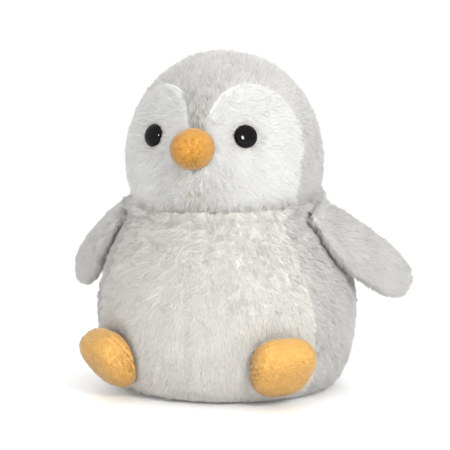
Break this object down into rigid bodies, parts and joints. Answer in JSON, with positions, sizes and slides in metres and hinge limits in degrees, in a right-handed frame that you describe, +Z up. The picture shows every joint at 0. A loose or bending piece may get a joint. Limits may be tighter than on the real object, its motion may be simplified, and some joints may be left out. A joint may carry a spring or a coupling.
{
  "type": "plush penguin",
  "caption": "Sitting plush penguin with a round weighted body, a turning and nodding head, two liftable wings and two padded feet.",
  "frame": {"origin": "centre of the flat base that the penguin sits on", "axes": "+Z up, the penguin faces -Y, and its own left side is +X"},
  "size_m": [0.2824, 0.2104, 0.2625],
  "materials": {
    "grey_plush": "short dense pile",
    "cream_plush": "longer tumbled pile",
    "white_plush": "short combed pile",
    "orange_velboa": "short velvety nap",
    "sole_velboa": "short velvety nap",
    "fibre_stuffing": "loose fibre",
    "pouch_cloth": "plain woven",
    "pellet_plastic": "loose beads",
    "eye_plastic": "polished",
    "washer_plastic": "plain moulded"
  },
  "bodies": {
    "torso": {"base_panel": "grey_plush", "belly_left": "cream_plush", "belly_right": "cream_plush", "back_left": "grey_plush", "back_right": "grey_plush", "body_stuffing": "fibre_stuffing", "pellet_pouch": "pouch_cloth", "pellets": "pellet_plastic"},
    "neck": {"neck_stuffing": "fibre_stuffing"},
    "head": {"crown_gusset": "grey_plush", "head_side_left": "grey_plush", "head_side_right": "grey_plush", "face_left": "white_plush", "face_right": "white_plush", "head_stuffing": "fibre_stuffing", "eye_left": "eye_plastic", "eye_right": "eye_plastic", "eye_washer_left": "washer_plastic", "eye_washer_right": "washer_plastic", "beak_upper": "orange_velboa", "beak_lower": "orange_velboa", "beak_stuffing": "fibre_stuffing"},
    "wing_left": {"wing_outer_left": "grey_plush", "wing_inner_left": "grey_plush", "wing_stuffing_left": "fibre_stuffing"},
    "foot_left": {"foot_sole_left": "sole_velboa", "foot_upper_left": "orange_velboa", "foot_stuffing_left": "fibre_stuffing"},
    "wing_right": {"wing_outer_right": "grey_plush", "wing_inner_right": "grey_plush", "wing_stuffing_right": "fibre_stuffing"},
    "foot_right": {"foot_sole_right": "sole_velboa", "foot_upper_right": "orange_velboa", "foot_stuffing_right": "fibre_stuffing"}
  },
  "joints": [
    {"name": "head_turn", "type": "hinge", "parent": "torso", "child": "neck", "pos_m": [0, -0.0065, 0.178], "axis": [0, 0, 1], "range_deg": [-20, 20], "stiffness_Nm_per_rad": 0.3},
    {"name": "head_nod", "type": "hinge", "parent": "neck", "child": "head", "pos_m": [0, -0.0065, 0.178], "axis": [1, 0, 0], "range_deg": [-10, 10], "stiffness_Nm_per_rad": 0.3},
    {"name": "wing_left_lift", "type": "hinge", "parent": "torso", "child": "wing_left", "pos_m": [0.0765, -0.01, 0.137], "axis": [0, -0.9654, -0.2607], "range_deg": [0, 70], "stiffness_Nm_per_rad": 0.05},
    {"name": "wing_right_lift", "type": "hinge", "parent": "torso", "child": "wing_right", "pos_m": [-0.0765, -0.01, 0.137], "axis": [0, 0.9654, 0.2607], "range_deg": [0, 70], "stiffness_Nm_per_rad": 0.05},
    {"name": "foot_left_tip", "type": "hinge", "parent": "torso", "child": "foot_left", "pos_m": [0.05758, -0.07111, 0.011], "axis": [0.7771, 0.6293, 0], "range_deg": [0, 20], "stiffness_Nm_per_rad": 0.05},
    {"name": "foot_right_tip", "type": "hinge", "parent": "torso", "child": "foot_right", "pos_m": [-0.05758, -0.07111, 0.011], "axis": [0.7771, -0.6293, 0], "range_deg": [0, 20], "stiffness_Nm_per_rad": 0.05}
  ]
}
